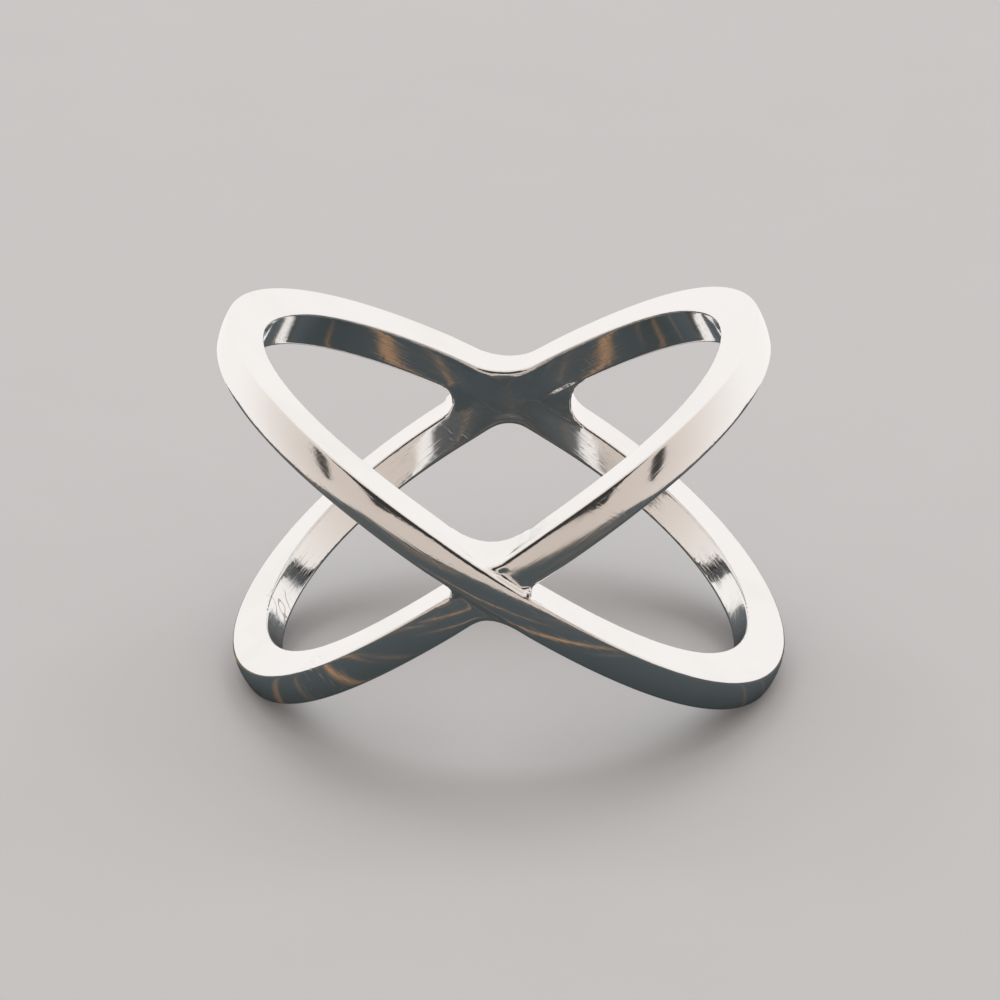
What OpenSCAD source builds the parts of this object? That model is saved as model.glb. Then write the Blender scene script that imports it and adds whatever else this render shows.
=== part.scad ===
// Crossover ring: two narrow oval bands lean opposite ways round one finger hole and are
// one piece of metal where they cross, at the front and at the back.
// Millimetres. The origin is the middle of the finger hole, +Z up and +Y to the back.
// The ring lies on its two low lobes, as it does when it is put down, so the finger
// hole leans a little to the left of +Z.

/* [Finger] */
// Width of the finger hole
finger_d = 17.3; // [14:0.1:23]
// How far the finger hole cuts into the inner faces at the two crossings
crossing_cut = 0.03; // [0.02:0.01:0.1]
// Room between the finger hole and the middle of the inner faces at the lobes
lobe_room = 0.24; // [0.05:0.01:0.4]

/* [Over band] */
// Lean of the band that passes over, from the flat
over_tilt = 35.3; // [25:0.1:42]
// Width of the band that passes over
over_w = 1.4; // [1:0.05:2.2]
// Wall at its two lobes
over_lobe_wall = 1.4; // [1:0.05:2.4]
// Wall at the two crossings
over_crossing_wall = 1.96; // [1.2:0.02:2.6]

/* [Under band] */
// Lean of the band that passes under, from the flat
under_tilt = 31.8; // [25:0.1:42]
// Width of the band that passes under
under_w = 1.45; // [1:0.05:2.2]
// Wall at its two lobes
under_lobe_wall = 1.2; // [1:0.05:2.4]
// Wall at the two crossings
under_crossing_wall = 1.56; // [1.2:0.02:2.4]

/* [Section] */
// Rise of the domed outer faces over their edges
dome = 0.1; // [0.06:0.02:0.3]

/* [Hidden] */
$fn = 96;

// Places of a band's sizes in its list
TILT = 0;
WIDTH = 1;
LOBE_WALL = 2;
CROSSING_WALL = 3;

// The over band drops to the right, the under band rises to the right
over = [over_tilt, over_w, over_lobe_wall, over_crossing_wall];
under = [-under_tilt, under_w, under_lobe_wall, under_crossing_wall];

finger_r = finger_d / 2;
bore_length = 4 * finger_r;
// How far a flank of a band stands proud of its ends, so that the two overlap
FLANK_STEP = 0.02;

// Half-lengths of a band's inner and outer ovals: [along the band, at the crossings]
function inner_oval(b) = [(finger_r + lobe_room) / cos(b[TILT]), finger_r - crossing_cut];
function outer_oval(b) = [inner_oval(b)[0] + b[LOBE_WALL], finger_r + b[CROSSING_WALL]];

// Lowest edge of a band's low lobe: how far out from the middle and how far down
function low_out(b) = outer_oval(b)[0] * cos(b[TILT]) - b[WIDTH] / 2 * sin(abs(b[TILT]));
function low_down(b) = outer_oval(b)[0] * sin(abs(b[TILT])) + b[WIDTH] / 2 * cos(b[TILT]);

// Turn about Y that sets both low lobes on the table
rest_lean = atan((low_down(under) - low_down(over)) / (low_out(over) + low_out(under)));

// Edge of a disc with its rim domed by the given rise, as a half section
module rim_section(r, w, rise) {
    translate([0, -w / 2]) square([r, w]);
    if (rise > 0) {
        rim_r = ((w / 2) ^ 2 + rise ^ 2) / (2 * rise);
        intersection() {
            translate([r + rise - rim_r, 0]) circle(r = rim_r);
            translate([r - rise, -w / 2]) square([2 * rise, w]);
        }
    }
}

// Flat oval disc, longer along X: a round disc for each end and a pie for each flank
// between them
module oval_disc(half, w, rise) {
    end_r = half[1] ^ 2 / half[0];
    flank_r = half[0] * (half[0] + half[1]) / (2 * half[1]);
    end_x = half[0] - end_r;
    flank_y = flank_r - half[1];
    end_angle = atan(flank_y / end_x);
    for (side = [0, 180]) rotate([0, 0, side]) {
        translate([end_x, 0, 0])
            rotate_extrude() rim_section(end_r, w, rise);
        translate([0, -flank_y, 0])
            rotate([0, 0, end_angle])
            rotate_extrude(angle = 180 - 2 * end_angle)
                rim_section(flank_r + FLANK_STEP, w, rise);
    }
}

// One band: a flat oval, leaned about Y, with the round inner faces of its two lobes cut
// square to it
module band(b) {
    half = inner_oval(b);
    end_r = half[1] ^ 2 / half[0];
    rotate([0, b[TILT], 0])
    difference() {
        oval_disc(outer_oval(b), b[WIDTH], dome);
        for (side = [-1, 1])
            translate([side * (half[0] - end_r), 0, 0])
                cylinder(h = 3 * b[WIDTH], r = end_r, center = true);
    }
}

// Both bands as one solid, with the finger hole cut true through them
module ring() {
    color("silver")
    rotate([0, rest_lean, 0])
    difference() {
        union() {
            band(over);
            band(under);
        }
        cylinder(h = bore_length, r = finger_r, center = true);
    }
}

ring();
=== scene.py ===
"""Looks of a polished silver crossover ring that lies on its two low lobes.

Two narrow hoops lean opposite ways round one finger hole and are one piece of
metal at the front and back crossings. Metres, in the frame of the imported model:
X to the right, Y away from the camera, Z up.
"""
import logging
import math
from dataclasses import dataclass, field
from enum import Enum
from typing import Optional, Sequence, Union

import bmesh
import bpy
from mathutils import Matrix, Vector


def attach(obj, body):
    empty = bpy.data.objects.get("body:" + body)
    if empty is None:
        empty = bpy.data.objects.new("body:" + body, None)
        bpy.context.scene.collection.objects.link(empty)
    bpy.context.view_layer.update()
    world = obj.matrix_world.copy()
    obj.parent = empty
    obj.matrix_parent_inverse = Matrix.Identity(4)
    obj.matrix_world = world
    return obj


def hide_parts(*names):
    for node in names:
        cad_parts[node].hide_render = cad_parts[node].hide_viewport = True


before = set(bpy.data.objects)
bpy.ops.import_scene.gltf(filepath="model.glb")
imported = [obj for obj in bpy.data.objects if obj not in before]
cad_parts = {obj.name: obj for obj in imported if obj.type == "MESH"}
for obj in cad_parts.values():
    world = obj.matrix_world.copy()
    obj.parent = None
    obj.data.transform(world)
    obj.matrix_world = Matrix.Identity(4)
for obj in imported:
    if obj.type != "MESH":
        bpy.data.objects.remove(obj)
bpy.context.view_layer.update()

MM = 0.001
# Middle radius and half side of the square loop that is spun and bent into a hoop, mm
LOOP_RADIUS = 9.5
LOOP_HALF = 0.5
# How far a web reaches into the metal behind its corner, mm
WEB_DEPTH = 0.3
# How near a point has to be to count as on a web's arc, mm
ON_ARC = 0.001
# Height of the card over the floor, metres
CARD_GAP = 0.00001
log = logging.getLogger("crossover_ring")

Number = Union[int, float]
Operand = Union["ShaderValue", Number]


class Way(Enum):
    """Which way a hoop rises along X."""

    UP_TO_LEFT = -1
    UP_TO_RIGHT = 1


class Notch(Enum):
    """Open corners of a crossing: edges that meet there and the ways the arms leave it.

    Each value holds the over hoop's edge, the under hoop's edge, and the way along X
    that each hoop runs from the corner.
    """

    TOP = (1, 1, -1, 1)
    BOTTOM = (-1, -1, 1, -1)
    LEFT = (-1, 1, -1, -1)
    RIGHT = (1, -1, 1, 1)


@dataclass(frozen=True)
class ShaderValue:
    """One number socket in a material, so that sums on it add their Math nodes."""

    graph: "NodeGraph"
    socket: bpy.types.NodeSocket

    def _math(self, operation: str, *operands: Operand) -> "ShaderValue":
        """Add a Math node for one operation on this value."""
        return self.graph.math(operation, *operands)

    def __add__(self, other: Operand) -> "ShaderValue":
        """Sum."""
        return self._math("ADD", self, other)

    __radd__ = __add__

    def __mul__(self, other: Operand) -> "ShaderValue":
        """Product."""
        return self._math("MULTIPLY", self, other)

    def __sub__(self, other: Operand) -> "ShaderValue":
        """Difference."""
        return self._math("SUBTRACT", self, other)

    def __rsub__(self, other: Operand) -> "ShaderValue":
        """Difference with this value on the right."""
        return self._math("SUBTRACT", other, self)

    def __pow__(self, other: Operand) -> "ShaderValue":
        """Power."""
        return self._math("POWER", self, other)

    def ramp(self, low: float, high: float) -> "ShaderValue":
        """Rise smoothly from 0 at low to 1 at high."""
        node = self.graph.node(
            "ShaderNodeMapRange",
            {"interpolation_type": "SMOOTHSTEP"},
            {"Value": self, "From Min": low, "From Max": high},
        )
        return self.graph.value(node.outputs["Result"])


class NodeGraph:
    """A node tree and the few ways its nodes are added."""

    def __init__(self, tree: bpy.types.NodeTree) -> None:
        """Empty a node tree.

        Args:
            tree: The node tree of a material or a world.
        """
        self.tree = tree
        self.tree.nodes.clear()

    def node(
        self,
        kind: str,
        settings: Optional[dict] = None,
        sockets: Optional[dict] = None,
    ) -> bpy.types.Node:
        """Add one node.

        Args:
            kind: The node's type.
            settings: Its properties, set before its sockets.
            sockets: Values or links by socket name or number.

        Returns:
            The new node.
        """
        made = self.tree.nodes.new(kind)
        for name, setting in (settings or {}).items():
            setattr(made, name, setting)
        for key, given in (sockets or {}).items():
            self.feed(made.inputs[key], given)
        return made

    def feed(self, target: bpy.types.NodeSocket, given: object) -> None:
        """Link or set one input socket.

        Args:
            target: The input socket.
            given: A shader value, an output socket or a plain value.
        """
        if isinstance(given, ShaderValue):
            self.tree.links.new(given.socket, target)
        elif isinstance(given, bpy.types.NodeSocket):
            self.tree.links.new(given, target)
        else:
            target.default_value = given

    def value(self, socket: bpy.types.NodeSocket) -> ShaderValue:
        """Wrap an output socket."""
        return ShaderValue(self, socket)

    def math(self, operation: str, *operands: Operand) -> ShaderValue:
        """Add a Math node.

        Args:
            operation: The node's operation.
            operands: Its inputs in order.

        Returns:
            The node's result.
        """
        made = self.node("ShaderNodeMath", {"operation": operation}, dict(enumerate(operands)))
        return self.value(made.outputs[0])

    def place(self) -> bpy.types.NodeSocket:
        """Object coordinates, in metres."""
        return self.node("ShaderNodeTexCoord").outputs["Object"]

    def turned(
        self,
        vector: bpy.types.NodeSocket,
        turn: Sequence[float] = (0, 0, 0),
        scale: Sequence[float] = (1, 1, 1),
    ) -> bpy.types.NodeSocket:
        """Turn and scale a pattern's coordinates.

        Args:
            vector: The coordinates.
            turn: Turn about each axis, in degrees.
            scale: Scale along each axis.

        Returns:
            The new coordinates.
        """
        made = self.node(
            "ShaderNodeMapping",
            {"vector_type": "TEXTURE"},
            {
                "Vector": vector,
                "Rotation": tuple(math.radians(a) for a in turn),
                "Scale": tuple(scale),
            },
        )
        return made.outputs["Vector"]

    def noise(self, vector: bpy.types.NodeSocket, scale: float, detail: float = 2.0) -> ShaderValue:
        """Soft noise from 0 to 1 at a scale per metre."""
        made = self.node(
            "ShaderNodeTexNoise", {}, {"Vector": vector, "Scale": scale, "Detail": detail}
        )
        return self.value(made.outputs[0])

    def near(self, vector: bpy.types.NodeSocket, spot: Vector, radius: float) -> ShaderValue:
        """Mask that is 1 at a spot and fades to 0 at a radius.

        Args:
            vector: Object coordinates.
            spot: The middle of the mask.
            radius: Where it ends.

        Returns:
            The mask.
        """
        gap = self.node(
            "ShaderNodeVectorMath", {"operation": "DISTANCE"}, {0: vector, 1: tuple(spot)}
        )
        return 1 - self.value(gap.outputs["Value"]).ramp(0.0, radius)

    def blend(self, share: Operand, low: Sequence[float], high: Sequence[float]) -> bpy.types.NodeSocket:
        """Mix two colours.

        Args:
            share: 0 for the first, 1 for the second.
            low: The first colour.
            high: The second colour.

        Returns:
            The mixed colour.
        """
        made = self.node("ShaderNodeMix", {"data_type": "RGBA"})
        self.feed(made.inputs[0], share)
        made.inputs[6].default_value = (*low, 1)
        made.inputs[7].default_value = (*high, 1)
        return made.outputs[2]


class MaterialGraph(NodeGraph):
    """A new material with one Principled surface."""

    def __init__(self, name: str) -> None:
        """Start the material.

        Args:
            name: The material's name.
        """
        self.material = bpy.data.materials.new(name)
        self.material.use_nodes = True
        super().__init__(self.material.node_tree)
        self.surface = self.node("ShaderNodeBsdfPrincipled")
        self.node("ShaderNodeOutputMaterial", {}, {"Surface": self.surface.outputs["BSDF"]})


@dataclass(frozen=True)
class PolishedSilver:
    """Mirror-polished silver with hairline handling scratches, soft smears and painted shade in a small
    pit.
    """

    bright: tuple = (0.93, 0.925, 0.915)
    smeared: tuple = (0.86, 0.85, 0.83)
    roughness: float = 0.07
    smear_roughness: float = 0.10
    scratch_depth: float = 0.000004
    over_fall: float = 0.637
    under_fall: float = 0.687
    pit_radius: float = 0.00016
    scuff_radius: float = 0.0019
    mark_radius: float = 0.0011
    # Colour of the dried mark, and of the painted shade in the small pit
    mark_and_shade_colour: tuple = (0.30, 0.27, 0.19)
    hairline_stretch: float = 16
    hairline_scale: float = 11000
    drawn_scale: float = 14000
    drawn_turn: float = 0.0004

    def hairlines(
        self,
        graph: MaterialGraph,
        place: bpy.types.NodeSocket,
        turn: Sequence[float],
        where: ShaderValue,
    ) -> ShaderValue:
        """Fine straight scratches that run one way.

        Args:
            graph: The material.
            place: Object coordinates.
            turn: Which way they run, in degrees about each axis.
            where: Mask of the places that are scratched.

        Returns:
            A mask that is 1 in a scratch.
        """
        along = graph.turned(place, turn=turn, scale=(self.hairline_stretch, 1, 1))
        return graph.noise(along, self.hairline_scale, 1).ramp(0.58, 0.68) * where

    def drawn_lines(self, graph: MaterialGraph, place: bpy.types.NodeSocket) -> ShaderValue:
        """Fine polishing lines that run along each hoop.

        Args:
            graph: The material.
            place: Object coordinates.

        Returns:
            A mask that is 1 in a line.
        """
        split = graph.node("ShaderNodeSeparateXYZ", {}, {0: place})
        x, y, z = (graph.value(split.outputs[name]) for name in "XYZ")
        from_over = z + x * self.over_fall
        from_under = z - x * self.under_fall
        other = graph.math("GREATER_THAN", from_over * from_over, from_under * from_under)
        across = from_over + (from_under - from_over) * other
        turn = graph.math("ARCTAN2", y, x) * self.drawn_turn
        radius = (x * x + y * y) ** 0.5
        spread = graph.node("ShaderNodeCombineXYZ", {}, {"X": radius, "Y": across, "Z": turn})
        return graph.noise(spread.outputs[0], self.drawn_scale, 2).ramp(0.50, 0.72)

    def material(self, pit: Vector, mark: Vector, scuff: Vector) -> bpy.types.Material:
        """Build the node material.

        Args:
            pit: The middle of the small pit in the joint, which is darkened with painted shade.
            mark: The middle of the dried mark on an inner face.
            scuff: The middle of the scratched patch on the low left lobe.

        Returns:
            The finished material.
        """
        graph = MaterialGraph("polished_silver")
        place = graph.place()
        smear = graph.noise(place, 260, 3).ramp(0.45, 0.75)
        ripple = graph.noise(place, 700, 2)
        patches = graph.noise(place, 420, 2).ramp(0.46, 0.64)
        scuffed = graph.near(place, scuff, self.scuff_radius)
        scratch = self.hairlines(graph, place, (8, 36, 14), patches * 0.16)
        scratch = scratch + self.hairlines(graph, place, (0, 46, -8), scuffed)
        drawn = self.drawn_lines(graph, place)
        # Mask of the small pit: it dents the bump and roughens it, and darkens the colour as painted
        # shade
        pit_dent_and_shade = graph.near(place, pit, self.pit_radius)
        squiggle = graph.noise(place, 1800, 0) - 0.5
        dried = (1 - (squiggle * squiggle).ramp(0.0, 0.0016)) * graph.near(
            place, mark, self.mark_radius
        ).ramp(0.1, 0.4)
        surface = graph.surface
        # Colour darkened in the dried mark and, as painted shade, in the pit
        tone = graph.node("ShaderNodeMix", {"data_type": "RGBA"})
        graph.feed(tone.inputs[0], graph.math("MAXIMUM", pit_dent_and_shade, dried * 0.6))
        graph.feed(tone.inputs[6], graph.blend(smear * 0.5, self.bright, self.smeared))
        tone.inputs[7].default_value = (*self.mark_and_shade_colour, 1)
        graph.feed(surface.inputs["Base Color"], tone.outputs[2])
        surface.inputs["Metallic"].default_value = 1.0
        rough = self.roughness + smear * self.smear_roughness * 0.5 + scratch * 0.5
        rough = rough + drawn * 0.03 + pit_dent_and_shade * 0.3 + dried * 0.2
        graph.feed(surface.inputs["Roughness"], rough)
        bump = graph.node(
            "ShaderNodeBump",
            {},
            {
                "Height": ripple * 0.25 - scratch * 2.5 - drawn * 0.3 - pit_dent_and_shade * 9.0,
                "Strength": 0.5,
                "Distance": self.scratch_depth,
            },
        )
        graph.feed(surface.inputs["Normal"], bump.outputs["Normal"])
        return graph.material


@dataclass(frozen=True)
class Board:
    """Matt finish of the floor, of the card under the ring and of the dark flags."""

    name: str
    colour: tuple
    streak: Optional[tuple] = None
    roughness: float = 0.75
    sheen: float = 0.5

    def material(self) -> bpy.types.Material:
        """Build the node material.

        Returns:
            The finished material.
        """
        graph = MaterialGraph(self.name)
        if self.streak:
            drawn = graph.turned(graph.place(), scale=(5, 0.25, 1))
            grain = graph.noise(drawn, 150, 3).ramp(0.57, 0.68)
            colours = self.colour, self.streak
        else:
            grain = graph.noise(graph.place(), 180, 3)
            colours = tuple(c * 0.97 for c in self.colour), self.colour
        graph.feed(graph.surface.inputs["Base Color"], graph.blend(grain, *colours))
        graph.surface.inputs["Roughness"].default_value = self.roughness
        graph.surface.inputs["Specular IOR Level"].default_value = self.sheen
        return graph.material


def stand(bm: bmesh.types.BMesh, name: str) -> bpy.types.Object:
    """Put a finished bmesh into the scene.

    Args:
        bm: The bmesh, which is freed.
        name: The new object's name.

    Returns:
        The new object, at the origin.
    """
    mesh = bpy.data.meshes.new(name)
    bm.to_mesh(mesh)
    bm.free()
    made = bpy.data.objects.new(name, mesh)
    bpy.context.scene.collection.objects.link(made)
    return made


@dataclass(frozen=True)
class Lobe:
    """What a hoop's outer face does at one of its two lobes, in millimetres."""

    top_out: float
    flare: float
    dome: float


@dataclass(frozen=True)
class Web:
    """Rounded metal in one notch of a crossing, and how far its outer rim drops, in mm."""

    notch: Notch
    at_front: bool
    radius: float
    drop: float = 0.0


@dataclass(frozen=True)
class Hoop:
    """One leaning hoop. Millimetres, with the finger hole's axis upright."""

    way: Way
    rise: float
    lift: float
    width: float
    width_at_crossings: float
    width_to_right: float
    wall: float
    wall_front: float
    wall_back: float
    waves: tuple
    left: Lobe
    right: Lobe
    finger_r: float = 8.65
    lobe_room: float = 0.244
    inner_lean: float = 0.741
    outer_lean: float = 0.643
    dome: float = 0.09
    steps: int = 480
    cuts: int = 7
    corner: float = 0.09

    def height_share(self, turn: float) -> float:
        """Height of the hoop's middle over its radius.

        Args:
            turn: Angle round the finger hole, in radians.

        Returns:
            Height over radius.
        """
        double_c, double_s, triple_c, triple_s = self.waves
        return (
            self.way.value * self.rise * math.cos(turn)
            + double_c * math.cos(2 * turn)
            + double_s * math.sin(2 * turn)
            + triple_c * math.cos(3 * turn)
            + triple_s * math.sin(3 * turn)
        )

    def slope(self, turn: float) -> float:
        """Change of the height share per radian."""
        step = 0.001
        return (self.height_share(turn + step) - self.height_share(turn - step)) / (2 * step)

    def lobe_at(self, turn: float) -> tuple[Lobe, float]:
        """The nearer lobe and how close it is.

        Args:
            turn: Angle round the finger hole, in radians.

        Returns:
            The lobe, and 1 at its middle falling to 0 away from it.
        """
        lobe = self.right if math.cos(turn) > 0 else self.left
        return lobe, abs(math.cos(turn)) ** 5

    def section_point(self, turn: float, across: float, up: float) -> Vector:
        """Place of one point of the section.

        Args:
            turn: Angle round the finger hole, in radians.
            across: 0 on the inner face, 1 on the outer face.
            up: -1 on the bottom face, 1 on the top face.

        Returns:
            The point, in millimetres.
        """
        share = self.height_share(turn)
        sine_2 = math.sin(turn) ** 2
        extra = self.wall_front if math.sin(turn) < 0 else self.wall_back
        wall = self.wall + extra * sine_2
        width = self.width + self.width_at_crossings * sine_2 + self.width_to_right * math.cos(turn)
        lobe, closeness = self.lobe_at(turn)
        stretch = math.sqrt(1 + self.slope(turn) ** 2 + (self.outer_lean * share) ** 2)
        half = width * stretch / (1 + self.outer_lean * share * share) / 2
        inner = self.finger_r + self.lobe_room * math.cos(turn) ** 2
        leaning = inner + wall - self.outer_lean * share * half * up
        top_edge = inner + wall - self.outer_lean * share * half + lobe.top_out
        flared = top_edge + lobe.flare * (1 - up) / 2
        dome = self.dome + (lobe.dome - self.dome) * closeness
        outer = leaning + (flared - leaning) * closeness + dome * (1 - up * up)
        inner -= self.inner_lean * share * half * up
        level = self.finger_r * share + self.lift + half * up
        radius = inner + (outer - inner) * across
        return Vector(
            (radius * math.cos(turn), radius * math.sin(turn), level + wall * share * across)
        )

    def build(self, name: str) -> bpy.types.Object:
        """Spin a square loop round, bend it to the hoop and round its four edges.

        Args:
            name: The new object's name.

        Returns:
            The hoop as a closed mesh, in metres.
        """
        bm = bmesh.new()
        bmesh.ops.create_circle(bm, segments=4, radius=math.sqrt(0.5), cap_ends=False)
        bmesh.ops.rotate(bm, verts=bm.verts, matrix=Matrix.Rotation(math.radians(45), 3, "Z"))
        bmesh.ops.rotate(bm, verts=bm.verts, matrix=Matrix.Rotation(math.radians(90), 3, "X"))
        bmesh.ops.subdivide_edges(bm, edges=bm.edges[:], cuts=self.cuts)
        bmesh.ops.translate(bm, verts=bm.verts, vec=(LOOP_RADIUS, 0, 0))
        bmesh.ops.spin(
            bm,
            geom=bm.verts[:] + bm.edges[:],
            cent=(0, 0, 0),
            axis=(0, 0, 1),
            angle=math.tau,
            steps=self.steps,
            use_merge=True,
        )
        corners = set()
        for vert in bm.verts:
            across = vert.co.xy.length - (LOOP_RADIUS - LOOP_HALF)
            up = vert.co.z / LOOP_HALF
            if min(across, 1 - across) < 0.01 and abs(up) > 0.99:
                corners.add(vert)
            turn = math.atan2(vert.co.y, vert.co.x)
            vert.co = self.section_point(turn, min(max(across, 0), 1), min(max(up, -1), 1))
        rims = [e for e in bm.edges if e.verts[0] in corners and e.verts[1] in corners]
        bmesh.ops.recalc_face_normals(bm, faces=bm.faces[:])
        bmesh.ops.bevel(
            bm,
            geom=rims,
            offset=self.corner,
            offset_type="OFFSET",
            affect="EDGES",
            segments=4,
            profile=0.5,
            material=-1,
            clamp_overlap=True,
        )
        bmesh.ops.scale(bm, vec=(MM, MM, MM), verts=bm.verts)
        return stand(bm, name)


@dataclass
class CrossoverRing:
    """The two hoops grown together into one piece of silver."""

    over: Hoop = Hoop(
        way=Way.UP_TO_LEFT,
        rise=0.705,
        lift=0.0,
        width=1.475,
        width_at_crossings=-0.088,
        width_to_right=-0.081,
        wall=1.263,
        wall_front=0.751,
        wall_back=0.633,
        waves=(-0.0163, 0.0321, -0.0078, 0.0073),
        left=Lobe(top_out=0.0, flare=0.52, dome=0.08),
        right=Lobe(top_out=0.16, flare=-0.55, dome=0.10),
    )
    under: Hoop = Hoop(
        way=Way.UP_TO_RIGHT,
        rise=0.617,
        lift=0.011,
        width=1.527,
        width_at_crossings=-0.040,
        width_to_right=0.104,
        wall=1.098,
        wall_front=0.559,
        wall_back=0.520,
        waves=(-0.0158, -0.0229, 0.0093, 0.0178),
        left=Lobe(top_out=0.29, flare=-0.48, dome=0.10),
        right=Lobe(top_out=0.34, flare=0.42, dome=0.08),
    )
    webs: tuple = (
        Web(Notch.TOP, True, 2.4, 0.34),
        Web(Notch.BOTTOM, True, 1.3),
        Web(Notch.LEFT, True, 0.25),
        Web(Notch.RIGHT, True, 0.2),
        Web(Notch.TOP, False, 2.4),
        Web(Notch.BOTTOM, False, 1.4),
        Web(Notch.LEFT, False, 0.7),
        Web(Notch.RIGHT, False, 1.1),
    )
    rest_lean: float = -2.717
    lift: float = 0.12
    voxel: float = 0.045
    skin_rounds: int = 3
    joint_rounds: int = 4
    joint_shares: tuple = (1.0, 0.9, 0.8, 0.7, 0.6, 0.5)
    joint_reach: float = 0.95
    most_triangles: int = 180000
    finish: PolishedSilver = field(default_factory=PolishedSilver)

    def build(self) -> bpy.types.Object:
        """Join the hoops, soften the joints and set the ring down.

        Returns:
            The ring's object.
        """
        ring = self.over.build("silver_ring")
        other = self.under.build("under_hoop")
        self.apply(ring, "BOOLEAN", object=other, operation="UNION", solver="EXACT")
        bpy.data.objects.remove(other)
        for number, web in enumerate(self.webs):
            filler = self.fill_notch(web, f"web_{number}")
            self.apply(ring, "BOOLEAN", object=filler, operation="UNION", solver="EXACT")
            bpy.data.objects.remove(filler)
        log.info("joined hoops: %d faces", len(ring.data.polygons))
        joined = ring.copy()
        joined.data = ring.data.copy()
        bpy.context.scene.collection.objects.link(joined)
        self.apply(ring, "REMESH", mode="VOXEL", voxel_size=self.voxel * MM)
        self.apply(ring, "SHRINKWRAP", target=joined, wrap_method="NEAREST_SURFACEPOINT")
        bpy.data.objects.remove(joined)
        self.soften(ring)
        self.set_down(ring)
        self.thin_out(ring)
        return ring

    def corner_turn(self, web: Web) -> float:
        """Angle round the finger hole at which a notch's two edges meet.

        Args:
            web: The web that fills the notch.

        Returns:
            The angle, in radians.
        """
        middle = -math.pi / 2 if web.at_front else math.pi / 2
        toward = 1 if web.at_front else -1
        over_edge, under_edge, _, _ = web.notch.value
        low, high = -0.6, 0.6
        for _ in range(40):
            half_way = (low + high) / 2
            turn = middle + toward * half_way
            over_z = self.over.section_point(turn, 0.5, over_edge).z
            if over_z > self.under.section_point(turn, 0.5, under_edge).z:
                low = half_way
            else:
                high = half_way
        return middle + toward * low

    def fill_notch(self, web: Web, name: str) -> bpy.types.Object:
        """Build the metal that rounds one notch out to an arc.

        Args:
            web: Which notch, and the arc's radius in millimetres.
            name: The new object's name.

        Returns:
            The filler as a closed mesh, in metres.
        """
        turn = self.corner_turn(web)
        toward = 1 if web.at_front else -1
        over_edge, under_edge, over_way, under_way = web.notch.value
        rays = []
        for hoop, edge, way in (
            (self.over, over_edge, over_way),
            (self.under, under_edge, under_way),
        ):
            near = hoop.section_point(turn, 0.5, edge)
            far = hoop.section_point(turn + toward * way * 0.05, 0.5, edge)
            rays.append(Vector((far.x - near.x, 0, far.z - near.z)).normalized())
        corner = self.over.section_point(turn, 0.5, over_edge)
        corner.y = 0
        half_angle = rays[0].angle(rays[1]) / 2
        open_way = (rays[0] + rays[1]).normalized()
        middle = corner + open_way * web.radius / math.sin(half_angle)
        touch = corner + rays[0] * web.radius / math.tan(half_angle)
        axis = rays[0].cross(rays[1]).normalized()
        bm = bmesh.new()
        first = bm.verts.new(touch)
        bmesh.ops.spin(
            bm, geom=[first], cent=middle, axis=-axis, angle=math.pi - 2 * half_angle, steps=24
        )
        arc = sorted(bm.verts, key=lambda v: (v.co - touch).length)
        reach = abs(touch.x - corner.x)
        back = [bm.verts.new(v.co - open_way * WEB_DEPTH) for v in (arc[0], arc[-1])]
        deep = bm.verts.new(corner - open_way * WEB_DEPTH)
        face = bm.faces.new([*arc, back[1], deep, back[0]])
        grown = bmesh.ops.extrude_face_region(bm, geom=[face])
        moved = {v for v in grown["geom"] if isinstance(v, bmesh.types.BMVert)}
        rim = {v for v in bm.verts if abs((v.co - middle).length - web.radius) < ON_ARC}
        for vert in bm.verts:
            across = 1 if vert in moved else 0
            spot = -toward * math.acos(vert.co.x / LOOP_RADIUS)
            side = min(max(over_way * (vert.co.x - corner.x) / reach, -1), 1)
            if across and vert in rim:
                vert.co -= open_way * web.drop * (1 - side * side) ** 2
            share = 0.5 + side * (3 - side * side) / 4
            over_r = self.over.section_point(spot, across, over_edge).xy.length
            under_r = self.under.section_point(spot, across, under_edge).xy.length
            radius = over_r * share + under_r * (1 - share)
            vert.co.y = -toward * math.sqrt(radius**2 - vert.co.x**2)
        bmesh.ops.recalc_face_normals(bm, faces=bm.faces[:])
        rims = [
            e
            for e in bm.edges
            if rim.issuperset(e.verts) and (e.verts[0] in moved) == (e.verts[1] in moved)
        ]
        bmesh.ops.bevel(
            bm,
            geom=rims,
            offset=min(self.over.corner, web.radius / 3),
            offset_type="OFFSET",
            affect="EDGES",
            segments=4,
            profile=0.5,
            material=-1,
            clamp_overlap=True,
        )
        bmesh.ops.scale(bm, vec=(MM, MM, MM), verts=bm.verts)
        return stand(bm, name)

    @staticmethod
    def apply(thing: bpy.types.Object, kind: str, **settings: object) -> None:
        """Add a modifier and keep its result as the mesh.

        Args:
            thing: The object.
            kind: The modifier's type.
            settings: The modifier's properties.
        """
        modifier = thing.modifiers.new(kind.lower(), kind)
        for name, setting in settings.items():
            setattr(modifier, name, setting)
        graph = bpy.context.evaluated_depsgraph_get()
        made = bpy.data.meshes.new_from_object(thing.evaluated_get(graph))
        thing.modifiers.clear()
        old = thing.data
        thing.data = made
        bpy.data.meshes.remove(old)

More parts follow.
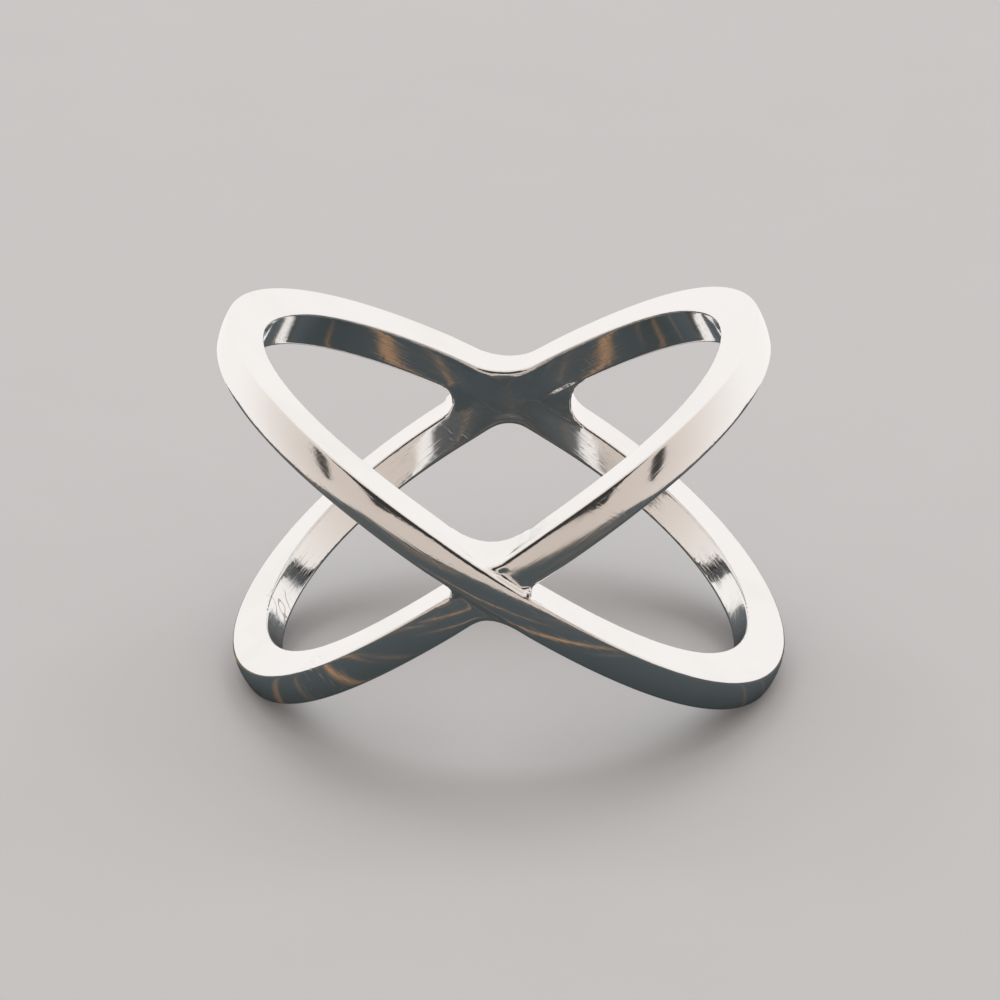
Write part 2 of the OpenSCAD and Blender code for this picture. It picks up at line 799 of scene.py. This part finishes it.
    def soften(self, ring: bpy.types.Object) -> None:
        """Smooth the whole skin a little and the two crossings' notches more.

        Args:
            ring: The ring's object.
        """
        bm = bmesh.new()
        bm.from_mesh(ring.data)
        rings = {share: set() for share in self.joint_shares}
        for web in self.webs:
            turn = self.corner_turn(web)
            spot = self.over.section_point(turn, 0.5, web.notch.value[0]) * MM
            reach = (self.joint_reach + web.radius * 0.62) * MM
            close = [(v, (v.co - spot).length) for v in bm.verts if (v.co - spot).length < reach]
            for share, group in rings.items():
                group |= {v for v, gap in close if gap < reach * share}
        groups = [(list(group), self.joint_rounds) for group in rings.values()]
        for group, rounds in [*groups, (bm.verts[:], self.skin_rounds)]:
            for _ in range(rounds):
                bmesh.ops.smooth_vert(
                    bm, verts=group, factor=0.5, use_axis_x=True, use_axis_y=True, use_axis_z=True
                )
        bm.to_mesh(ring.data)
        bm.free()

    def set_down(self, ring: bpy.types.Object) -> None:
        """Lean the finger hole so that both low lobes touch the floor.

        Args:
            ring: The ring's object.
        """
        bm = bmesh.new()
        bm.from_mesh(ring.data)
        turn = Matrix.Rotation(math.radians(self.rest_lean), 3, "Y")
        bmesh.ops.rotate(bm, verts=bm.verts, matrix=turn)
        bmesh.ops.translate(bm, verts=bm.verts, vec=(0, 0, self.lift * MM))
        bm.to_mesh(ring.data)
        bm.free()
        ring.data.shade_smooth()

    def thin_out(self, ring: bpy.types.Object) -> None:
        """Cut the skin's triangles down and keep the shading of the fine skin.

        Args:
            ring: The ring's object.
        """
        fine = ring.copy()
        fine.data = ring.data.copy()
        bpy.context.scene.collection.objects.link(fine)
        triangles = 2 * len(ring.data.polygons)
        self.apply(ring, "DECIMATE", ratio=min(1.0, self.most_triangles / triangles))
        ring.data.shade_smooth()
        self.apply(
            ring,
            "DATA_TRANSFER",
            object=fine,
            use_loop_data=True,
            data_types_loops={"CUSTOM_NORMAL"},
            loop_mapping="POLYINTERP_NEAREST",
        )
        bpy.data.objects.remove(fine)

    def set_down_spot(self, spot: Vector) -> Vector:
        """Where a point of a hoop lies once the ring is set down.

        Args:
            spot: The point, in millimetres, with the finger hole upright.

        Returns:
            The place, in metres.
        """
        turned = Matrix.Rotation(math.radians(self.rest_lean), 3, "Y") @ spot
        return (turned + Vector((0, 0, self.lift))) * MM

    def pit_spot(self) -> Vector:
        """Place of the small pit, darkened with painted shade, where the under hoop's lower edge meets
        the over hoop.
        """
        web = next(w for w in self.webs if w.at_front and w.notch is Notch.RIGHT)
        turn = self.corner_turn(web)
        return self.set_down_spot(self.under.section_point(turn + 0.03, 1, web.notch.value[1]))

    def scuff_spot(self) -> Vector:
        """Place of the scratched patch, on the outer face of the low left lobe."""
        return self.set_down_spot(self.under.section_point(math.radians(-131), 1, 0.0))

    def mark_spot(self) -> Vector:
        """Place of the dried mark, on the inner face of the low left lobe."""
        return self.set_down_spot(self.under.section_point(math.radians(169), 0, -0.1))

    def dress(self, ring: bpy.types.Object) -> None:
        """Give the ring its finish and its place in the model.

        Args:
            ring: The ring's object.
        """
        ring.data.materials.clear()
        spots = self.pit_spot(), self.mark_spot(), self.scuff_spot()
        ring.data.materials.append(self.finish.material(*spots))
        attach(ring, "root")
        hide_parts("ring")


@dataclass
class Studio:
    """Pale floor, dark things that only the metal mirrors, soft light and the camera."""

    floor_size: float = 1.6
    card_size: tuple = (0.100, 0.076)
    card_back: float = 0.022
    target: tuple = (-0.000005, 0.0, -0.000359)
    distance: float = 0.300
    elevation: float = 23.345
    azimuth: float = 1.294
    roll: float = -0.089
    lens: float = 284.34
    floor: Board = Board("pale_floor", (0.50, 0.505, 0.515), sheen=0.0)
    card: Board = Board("dark_card", (0.046, 0.064, 0.074), (0.36, 0.22, 0.12))
    flag: Board = Board("dark_flag", (0.02, 0.02, 0.02))
    front_flag_place: tuple = (0.0, -0.281, 0.176)
    front_flag_size: tuple = (0.46, 0.27)
    side_flag_size: tuple = (0.036, 0.135)
    side_flag_turn: float = 57
    side_flag_distance: float = 0.29
    side_flag_height: float = 0.075
    oval_sides: int = 40
    light_place: tuple = (0.0, 0.25, 0.60)
    light_size: tuple = (0.7, 0.5)
    light_power: float = 2.0

    def lay_board(
        self, board: Board, size: Sequence[float], back: float, height: float
    ) -> bpy.types.Object:
        """Lay a board under the ring.

        Args:
            board: Its finish.
            size: Its width and depth.
            back: How far it reaches behind the ring's middle.
            height: Height of its surface.

        Returns:
            The board.
        """
        bm = bmesh.new()
        bmesh.ops.create_grid(bm, x_segments=4, y_segments=4, size=0.5)
        bmesh.ops.scale(bm, vec=(size[0], size[1], 1), verts=bm.verts)
        bmesh.ops.translate(bm, verts=bm.verts, vec=(0, back - size[1] / 2, height))
        made = stand(bm, board.name)
        made.data.materials.append(board.material())
        return made

    def lay_floor(self, height: float) -> None:
        """Lay the pale floor, and over it a dark card that only the metal reflects.

        Args:
            height: Height of the ring's lowest point.
        """
        wide = self.floor_size
        floor = self.lay_board(self.floor, (wide, wide), wide / 2, height)
        floor.visible_glossy = False
        card = self.lay_board(self.card, self.card_size, self.card_back, height + CARD_GAP)
        self.show_metal_only(card)

    @staticmethod
    def show_metal_only(thing: bpy.types.Object) -> None:
        """Hide a thing from all but reflections."""
        thing.visible_camera = False
        thing.visible_diffuse = False
        thing.visible_shadow = False
        thing.visible_transmission = False

    def hang_flag(
        self, name: str, place: Vector, size: Sequence[float], sides: int
    ) -> bpy.types.Object:
        """Hang a dark flag that faces the ring and only shows in reflections.

        Args:
            name: The flag's name.
            place: Its middle.
            size: Its width and height.
            sides: 4 for a board, or many for an oval.

        Returns:
            The flag.
        """
        bm = bmesh.new()
        radius = math.sqrt(0.5) if sides == 4 else 0.5
        bmesh.ops.create_circle(bm, segments=sides, radius=radius, cap_ends=True)
        if sides == 4:
            bmesh.ops.rotate(bm, verts=bm.verts, matrix=Matrix.Rotation(math.radians(45), 3, "Z"))
        bmesh.ops.scale(bm, vec=(size[0], size[1], 1), verts=bm.verts)
        facing = (-place).to_track_quat("-Z", "Y").to_matrix()
        bmesh.ops.rotate(bm, verts=bm.verts, matrix=facing)
        bmesh.ops.translate(bm, verts=bm.verts, vec=place)
        made = stand(bm, name)
        made.data.materials.append(self.flag.material())
        self.show_metal_only(made)
        return made

    def panel(
        self, name: str, place: Sequence[float], size: Sequence[float], power: float
    ) -> bpy.types.Object:
        """Hang one soft light that faces the ring.

        Args:
            name: The light's name.
            place: Where it hangs.
            size: Its width and height.
            power: Its power in watts.

        Returns:
            The light.
        """
        data = bpy.data.lights.new(name, "AREA")
        data.shape = "RECTANGLE"
        data.size, data.size_y = size
        data.energy = power
        made = bpy.data.objects.new(name, data)
        made.location = place
        made.rotation_mode = "QUATERNION"
        made.rotation_quaternion = (-Vector(place)).to_track_quat("-Z", "Y")
        bpy.context.scene.collection.objects.link(made)
        return made

    def light(self) -> None:
        """Hang the light and the dark flags, and set the soft surrounding light."""
        overhead = self.panel("overhead_light", self.light_place, self.light_size, self.light_power)
        overhead.visible_glossy = False
        self.hang_flag("front_flag", Vector(self.front_flag_place), self.front_flag_size, 4)
        away = self.side_flag_distance
        for side in (-1, 1):
            around = math.radians(self.side_flag_turn * side)
            place = Vector((math.sin(around) * away, -math.cos(around) * away, self.side_flag_height))
            self.hang_flag(f"side_flag_{side}", place, self.side_flag_size, self.oval_sides)
        world = bpy.data.worlds.new("soft_room")
        bpy.context.scene.world = world
        world.use_nodes = True
        sky = NodeGraph(world.node_tree)
        way = sky.node("ShaderNodeTexCoord").outputs["Generated"]
        parts = sky.node("ShaderNodeSeparateXYZ", {}, {0: way})
        to_back = sky.value(parts.outputs["Y"]).ramp(-0.9, 0.6)
        light = sky.node(
            "ShaderNodeBackground",
            {},
            {
                "Color": sky.blend(to_back, (1.0, 0.87, 0.78), (1.0, 0.967, 0.948)),
                "Strength": 0.64 + to_back * 0.33,
            },
        )
        sky.node("ShaderNodeOutputWorld", {}, {"Surface": light.outputs[0]})
        bpy.context.scene.view_settings.view_transform = "Standard"

    def aim_camera(self) -> bpy.types.Object:
        """Stand the camera where the photograph was taken from.

        Returns:
            The camera.
        """
        data = bpy.data.cameras.new("camera")
        data.lens = self.lens
        data.sensor_width = 36.0
        data.clip_start = 0.01
        data.clip_end = 20.0
        made = bpy.data.objects.new("camera", data)
        up = math.radians(self.elevation)
        side = math.radians(self.azimuth)
        back = Vector((math.sin(side) * math.cos(up), -math.cos(side) * math.cos(up), math.sin(up)))
        made.location = Vector(self.target) + back * self.distance
        made.rotation_mode = "QUATERNION"
        level = (-back).to_track_quat("-Z", "Y")
        spin = Matrix.Rotation(math.radians(self.roll), 3, back).to_quaternion()
        made.rotation_quaternion = spin @ level
        bpy.context.scene.collection.objects.link(made)
        bpy.context.scene.camera = made
        return made


def main() -> None:
    """Build the ring and its studio in order, and report each piece."""
    logging.basicConfig(level=logging.INFO, format="%(name)s: %(message)s")
    studio = Studio()
    studio.aim_camera()
    ring = CrossoverRing()
    piece = ring.build()
    ring.dress(piece)
    log.info("%s: %d faces", piece.name, len(piece.data.polygons))
    lowest = min(vert.co.z for vert in piece.data.vertices)
    studio.lay_floor(lowest)
    studio.light()


if __name__ == "__main__":
    main()
